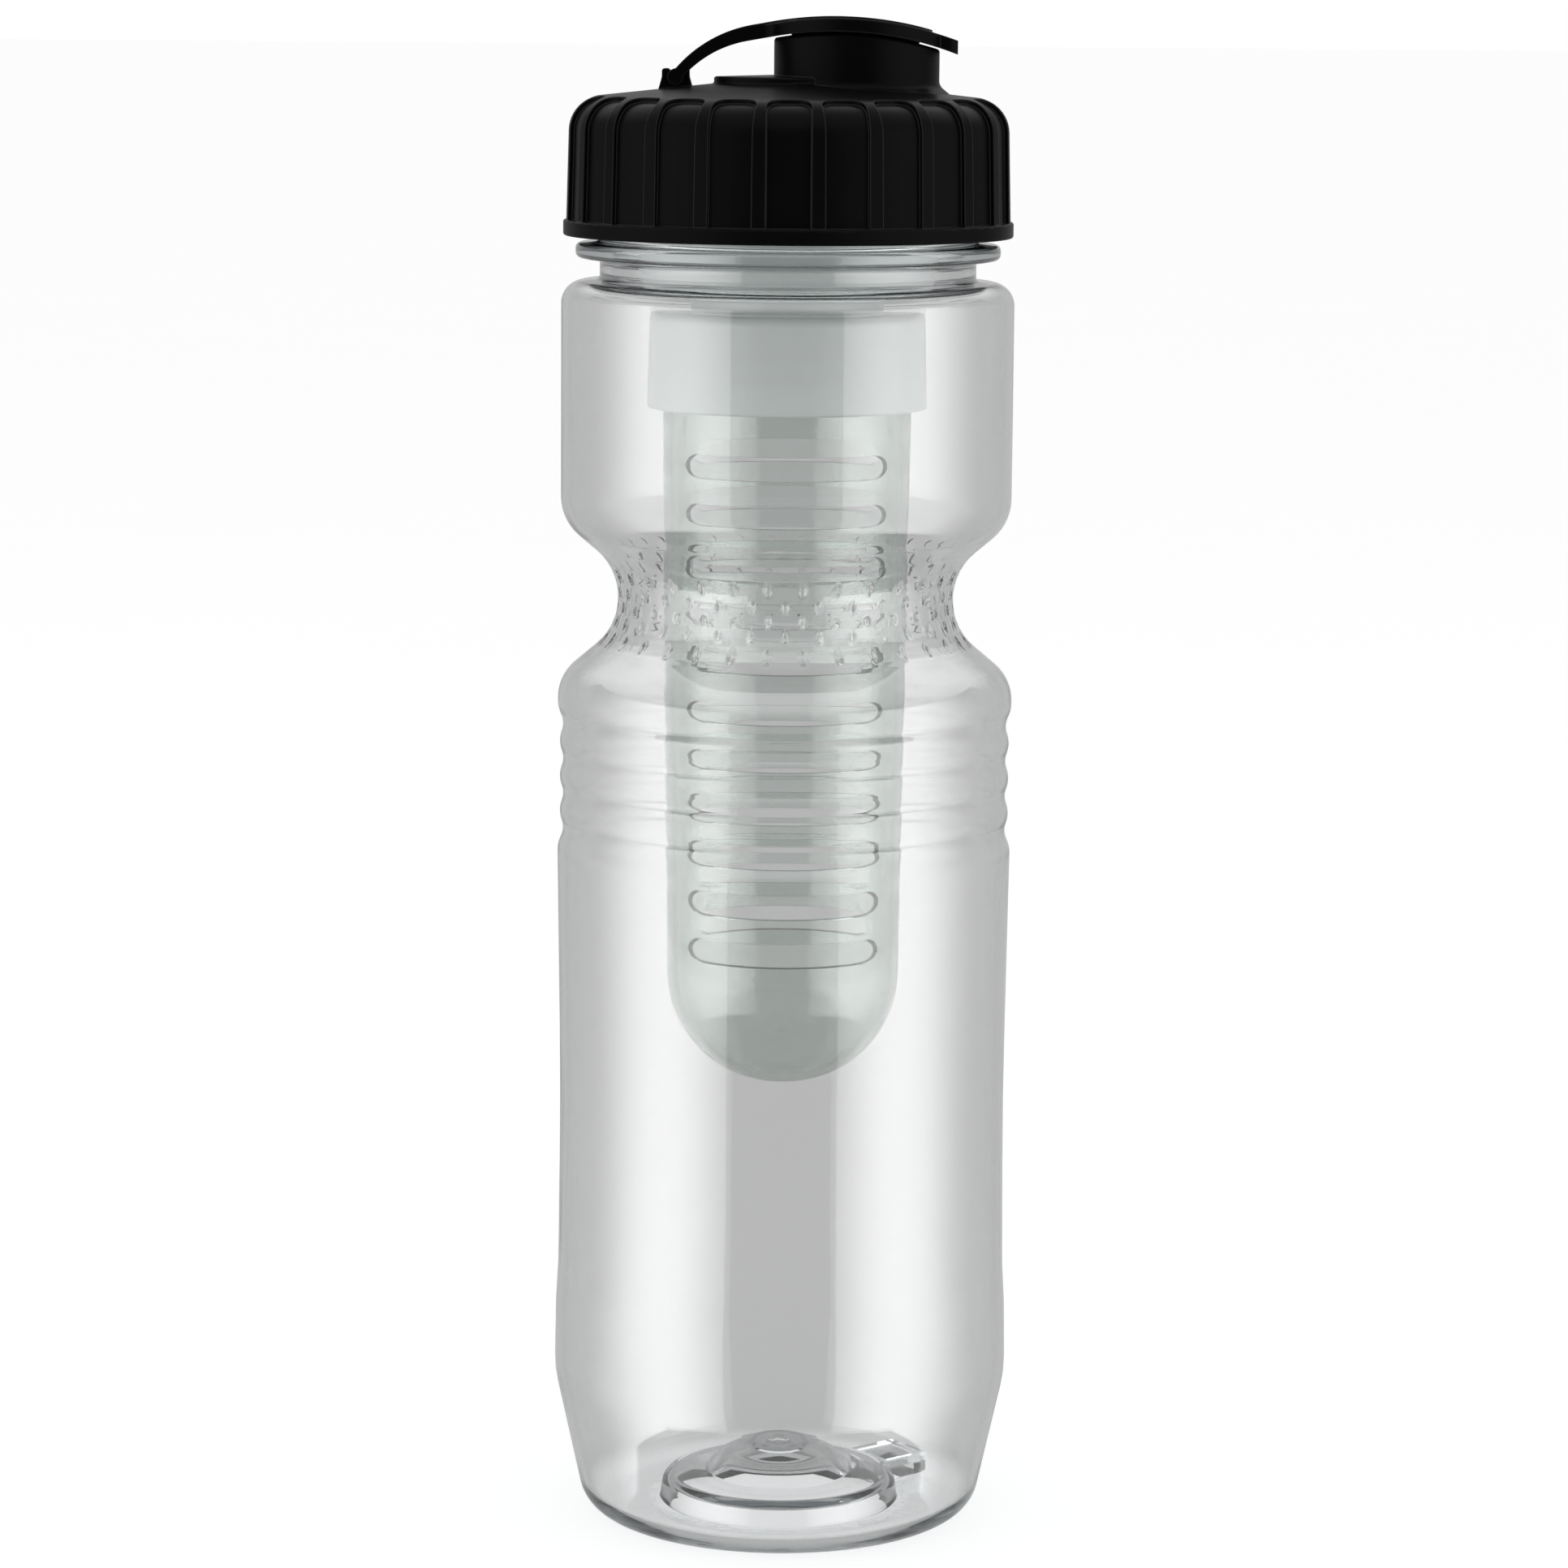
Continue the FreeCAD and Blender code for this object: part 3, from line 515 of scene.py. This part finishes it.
def neck_and_waist_tree():
    """Sinks staggered rows of almond dents into the waist and raises a thread on the neck."""
    tree, given = geometry_tree("neck_and_waist", [
        "Dents Round", "Dent Depth", "Thread Low", "Thread Pitch", "Thread Turns", "Thread Width",
        "Thread Height"])
    x, y, z = xyz(add(tree, "GeometryNodeInputPosition"))
    radius = (x * x + y * y).root()
    round_share = y.angle_over(x) / TURN
    side = add(tree, "GeometryNodeInputNamedAttribute", {"data_type": "FLOAT"}, {"Name": "side"})
    dents = 0.0
    for middle, width, height, step in DENT_ROWS:
        turn = round_share * given["Dents Round"] + step
        across = (turn - turn.round()) * radius * TURN / given["Dents Round"]
        along = (z - middle * MM) / (height * MM / 2)
        inside = 1.0 - abs(across) / (width * MM / 2) - along * along
        dents = inside.smooth(0.0, DENT_RIM) + dents
    sunk = dents * given["Dent Depth"] * side
    climb = (z - given["Thread Low"]) / given["Thread Pitch"] - round_share
    turns = climb.round() + round_share
    away = abs(z - given["Thread Low"] - turns * given["Thread Pitch"])
    ridge = 1.0 - away.smooth(given["Thread Width"] * 0.2, given["Thread Width"] * 0.5)
    left = given["Thread Turns"] - turns
    started = turns.smooth(0.0, NECK_THREAD_LEAD) * left.smooth(0.0, NECK_THREAD_LEAD)
    on_neck = side * z.smooth(THREAD_LOW_Z * MM, THREAD_LOW_Z * MM + NECK_THREAD_EDGE)
    raised = ridge * started * on_neck * given["Thread Height"]
    normal = add(tree, "GeometryNodeInputNormal")
    moved = add(tree, "ShaderNodeVectorMath", {"operation": "SCALE"}, {0: normal, "Scale": raised - sunk})
    shaped = add(tree, "GeometryNodeSetPosition", {}, {"Geometry": given["Geometry"], "Offset": moved})
    close_tree(tree, shaped, given["Plastic"])
    return tree


def ridge_tree():
    """A closed helical ridge, tapered to nothing at both ends."""
    tree, given = geometry_tree("thread_ridge", ["Radius", "Height", "Width", "Low", "Pitch", "Turns"])
    grid = add(tree, "GeometryNodeMeshGrid", {}, {
        "Size X": 1.0, "Size Y": 1.0, "Vertices X": RIDGE_STEPS, "Vertices Y": RIDGE_SIDES})
    x, y = xyz(add(tree, "GeometryNodeInputPosition"))[:2]
    along = x + 0.5
    around = (y + 0.5) * TURN
    taper = along.smooth(0.0, RIDGE_LEAD) * (1.0 - along).smooth(0.0, RIDGE_LEAD)
    turn = along * given["Turns"] * TURN
    out = given["Radius"] + given["Height"] * taper * (1.0 - around.cos()) * 0.5
    climb = given["Low"] + given["Pitch"] * along * given["Turns"]
    up = climb + around.sin() * taper * given["Width"] * 0.5
    placed = add(tree, "GeometryNodeSetPosition", {}, {
        "Geometry": grid, "Position": joined(tree, out * turn.cos(), out * turn.sin(), up)})
    closed = add(tree, "GeometryNodeMergeByDistance", {}, {"Geometry": placed, "Distance": SEAM_GAP})
    close_tree(tree, closed, given["Plastic"])
    return tree


def block(low, high, turn_degrees):
    """A mesh block between two corners, turned about the axis."""
    mesh = bpy.data.meshes.new("notch_block")
    shape = bmesh.new()
    bmesh.ops.create_cube(shape, size=1.0)
    size = Vector(high) - Vector(low)
    middle = (Vector(high) + Vector(low)) / 2
    shape.transform(Matrix.Rotation(math.radians(turn_degrees), 4, "Z") @ Matrix.Translation(middle)
                    @ Matrix.Diagonal((*size, 1.0)))
    shape.to_mesh(mesh)
    shape.free()
    return mesh


def combined(piece, steps):
    """Gives the piece its mesh after Boolean steps of (operation, other mesh)."""
    others = []
    for operation, mesh in steps:
        other = bpy.data.objects.new("notch_step", mesh)
        scene.collection.objects.link(other)
        others.append(other)
        modifier = piece.modifiers.new("notch", "BOOLEAN")
        modifier.operation = operation
        modifier.solver = "EXACT"
        modifier.object = other
    made = bpy.data.meshes.new_from_object(piece.evaluated_get(bpy.context.evaluated_depsgraph_get()))
    piece.modifiers.clear()
    piece.data = made
    for other in others:
        bpy.data.objects.remove(other)


NOTCH_START, NOTCH_LENGTH, NOTCH_WIDTH, NOTCH_HEIGHT, NOTCH_TURN = 21.0, 5.6, 5.6, 3.4, 38.0
NOTCH_WALL_LOW = 0.6
NOTCH_CUT_LOW = -1.0


def notch_block(grow, low):
    """The registration notch under the foot, grown on all sides, from a height up."""
    end = NOTCH_START + NOTCH_LENGTH + grow
    half = NOTCH_WIDTH / 2 + grow
    return block(((NOTCH_START - grow) * MM, -half * MM, low * MM),
                 (end * MM, half * MM, (NOTCH_HEIGHT + grow) * MM), NOTCH_TURN)


LID_THREAD_PITCH = 4.6 * MM

bottle = grown("bottle_shell", turned_mesh("bottle_shell", bottle_rows()), neck_and_waist_tree(), {
    "Dents Round": 32.0, "Dent Depth": 0.32 * MM,
    "Thread Low": 213.6 * MM, "Thread Pitch": LID_THREAD_PITCH, "Thread Turns": 2.3,
    "Thread Width": 2.6 * MM, "Thread Height": 0.75 * MM, "Plastic": CLEAR,
})
combined(bottle, [
    ("UNION", notch_block(BASE_WALL, NOTCH_WALL_LOW)), ("DIFFERENCE", notch_block(0.0, NOTCH_CUT_LOW))])
bottle.data.set_sharp_from_angle(angle=SHARP_EDGE)
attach(bottle, "bottle")
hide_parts("bottle_foot", "bottle_body", "bottle_waist", "bottle_neck")

threads = ridge_tree()
EMPTY = bpy.data.meshes.new("thread_start")
lid_thread = grown("lid_thread", EMPTY, threads, {
    "Radius": 32.15 * MM, "Height": -0.85 * MM, "Width": 1.9 * MM, "Low": 213.0 * MM,
    "Pitch": LID_THREAD_PITCH, "Turns": 2.2, "Plastic": BLACK,
})
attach(lid_thread, "lid")
basket_thread = grown("basket_thread", EMPTY, threads, {
    "Radius": 20.12 * MM, "Height": 0.66 * MM, "Width": 1.5 * MM, "Low": 186.2 * MM,
    "Pitch": 3.6 * MM, "Turns": 2.4, "Plastic": TINTED,
})
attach(basket_thread, "infuser_basket")


# ---------------------------------------------------------------- room, lights and camera

ROOM_LIGHT = 0.65  # strength of the room and the panels as light on things
ROOM_MIRRORED = 0.56
ROOM_THROUGH = 0.56
OVERHEAD_MIRRORED = 2.4
PANEL_LIGHT = 0.9
PANEL_MIRRORED = 3.0
PANEL_THROUGH = 0.58
FLOOR_SEEN = 0.46
FLOOR_THROUGH = 0.1
# painted pool of light on the floor under the bottle, seen only through the plastic
PAINTED_POOL_THROUGH = 0.55
PAINTED_POOL_RADIUS, PAINTED_POOL_END_RADIUS = 0.026, 0.042
FLOOR_HALF = 40.0
PANEL_INNER_DEGREES, PANEL_OUTER_DEGREES = 28.0, 130.0
PANEL_DISTANCE, PANEL_LOW, PANEL_HIGH, PANEL_COLUMNS = 1.1, -0.7, 0.75, 24


def stage_mesh(name, points, faces, material):
    mesh = bpy.data.meshes.new(name)
    mesh.from_pydata(points, [], faces)
    mesh.materials.append(material)
    thing = bpy.data.objects.new(name, mesh)
    scene.collection.objects.link(thing)
    return thing


def by_ray(tree, light, straight, mirrored, through):
    """A strength for light on things, and for what is seen straight, mirrored and through the plastic."""
    camera_ray = add(tree, "ShaderNodeLightPath", {}, {}, "Is Camera Ray")
    glossy_ray, through_ray = outputs(camera_ray, "Is Glossy Ray", "Is Transmission Ray")
    return (light + camera_ray * (straight - light) + glossy_ray * (1.0 - through_ray) * (mirrored - light)
            + through_ray * (through - light))


def floor_material():
    """Pale floor that reads white; the plastic mirrors the light panels beyond it, not the floor. Seen
    through the plastic, a painted pool of light lies under the bottle.
    """
    material, tree, target, where = shader("pale_floor")
    cloud = noise(where, 6.0)
    plain = add(tree, "ShaderNodeBsdfDiffuse", {}, {
        "Color": blend_colour(cloud, (0.80, 0.80, 0.80, 1.0), (0.79, 0.79, 0.79, 1.0))})
    x, y = xyz(where)[:2]
    # painted pool of light: through the plastic the floor glows brighter near the bottle's axis, standing in
    # for light the clear foot would gather
    under = 1.0 - (x * x + y * y).smooth(PAINTED_POOL_RADIUS ** 2, PAINTED_POOL_END_RADIUS ** 2)
    lit = add(tree, "ShaderNodeEmission", {}, {
        "Strength": by_ray(tree, 0.0, FLOOR_SEEN, 0.0, FLOOR_THROUGH + under * PAINTED_POOL_THROUGH)})
    both = add(tree, "ShaderNodeAddShader", {}, {0: plain, 1: lit})
    mirrored = add(tree, "ShaderNodeLightPath", {}, {}, "Glossy Depth")
    clear = add(tree, "ShaderNodeBsdfTransparent")
    unseen = add(tree, "ShaderNodeMixShader", {}, {0: mirrored.at_most(1.0), 1: both, 2: clear})
    tree.links.new(unseen.socket, target.inputs["Surface"])
    return material


def panel_material():
    """Light that fades to both ends; the plastic mirrors it, and shows it as plain white through."""
    material, tree, target, where = shader("light_panel")
    x, y = xyz(where)[:2]
    azimuth = abs(x).angle_over(-y)
    fade = azimuth.smooth(math.radians(8), math.radians(60)) * (
        1.0 - azimuth.smooth(math.radians(68), math.radians(118)))
    bounced = add(tree, "ShaderNodeLightPath", {}, {}, "Glossy Depth")
    through, = outputs(bounced, "Is Transmission Ray")
    shiny = bounced.at_most(1.0)
    bright = ROOM_MIRRORED + fade * PANEL_MIRRORED
    plain = through * PANEL_THROUGH + (1.0 - through) * (ROOM_LIGHT + fade * PANEL_LIGHT)
    glow = add(tree, "ShaderNodeEmission", {}, {"Strength": shiny * bright + (1.0 - shiny) * plain})
    tree.links.new(glow.socket, target.inputs["Surface"])
    return material


def panel(name, sign, material):
    """An arc of light beside the camera, seen from the bottle between two angles."""
    points, faces = [], []
    for k in range(PANEL_COLUMNS + 1):
        share = k / PANEL_COLUMNS
        angle = math.radians(PANEL_INNER_DEGREES + (PANEL_OUTER_DEGREES - PANEL_INNER_DEGREES) * share)
        x = sign * math.sin(angle) * PANEL_DISTANCE
        y = -math.cos(angle) * PANEL_DISTANCE
        points += [(x, y, PANEL_LOW), (x, y, PANEL_HIGH)]
        if k:
            faces.append((2 * k - 2, 2 * k, 2 * k + 1, 2 * k - 1))
    thing = stage_mesh(name, points, faces, material)
    thing.visible_camera = False
    thing.visible_shadow = False


stage_mesh("floor", [(-FLOOR_HALF, -FLOOR_HALF, 0), (FLOOR_HALF, -FLOOR_HALF, 0),
                     (FLOOR_HALF, FLOOR_HALF, 0), (-FLOOR_HALF, FLOOR_HALF, 0)],
           [(0, 1, 2, 3)], floor_material())
light_panel = panel_material()
panel("light_left", -1.0, light_panel)
panel("light_right", 1.0, light_panel)

world = bpy.data.worlds.new("white_room")
world.use_nodes = True
scene.world = world
sky = world.node_tree
sky.nodes.clear()
overhead = xyz(add(sky, "ShaderNodeTexCoord", {}, {}, "Generated"))[2].smooth(0.25, 0.7)
white = add(sky, "ShaderNodeBackground", {}, {
    "Color": (1.0, 1.0, 1.0, 1.0),
    "Strength": by_ray(sky, ROOM_LIGHT, 1.0, ROOM_MIRRORED + overhead * OVERHEAD_MIRRORED, ROOM_THROUGH)})
sky.links.new(white.socket, sky.nodes.new("ShaderNodeOutputWorld").inputs["Surface"])

CAMERA_PLACE = Vector((0.0, -0.820, 0.246))
CAMERA_TARGET = Vector((0.0, 0.0, 0.1215))
CAMERA_ROLL = math.radians(0.45)
SENSOR_MM = 36.0
LENS_MM = 116.46
lens = bpy.data.cameras.new("camera")
lens.sensor_width = SENSOR_MM
lens.lens = LENS_MM
camera = bpy.data.objects.new("camera", lens)
scene.collection.objects.link(camera)
camera.location = CAMERA_PLACE
aim = (CAMERA_TARGET - CAMERA_PLACE).to_track_quat("-Z", "Y").to_matrix()
camera.rotation_euler = (aim @ Matrix.Rotation(CAMERA_ROLL, 3, "Z")).to_euler()
scene.camera = camera

scene.view_settings.view_transform = "Standard"
scene.cycles.max_bounces = 32
scene.cycles.transmission_bounces = 32
scene.cycles.glossy_bounces = 12
scene.cycles.diffuse_bounces = 6
scene.cycles.transparent_max_bounces = 64
scene.cycles.caustics_reflective = False
scene.cycles.caustics_refractive = False
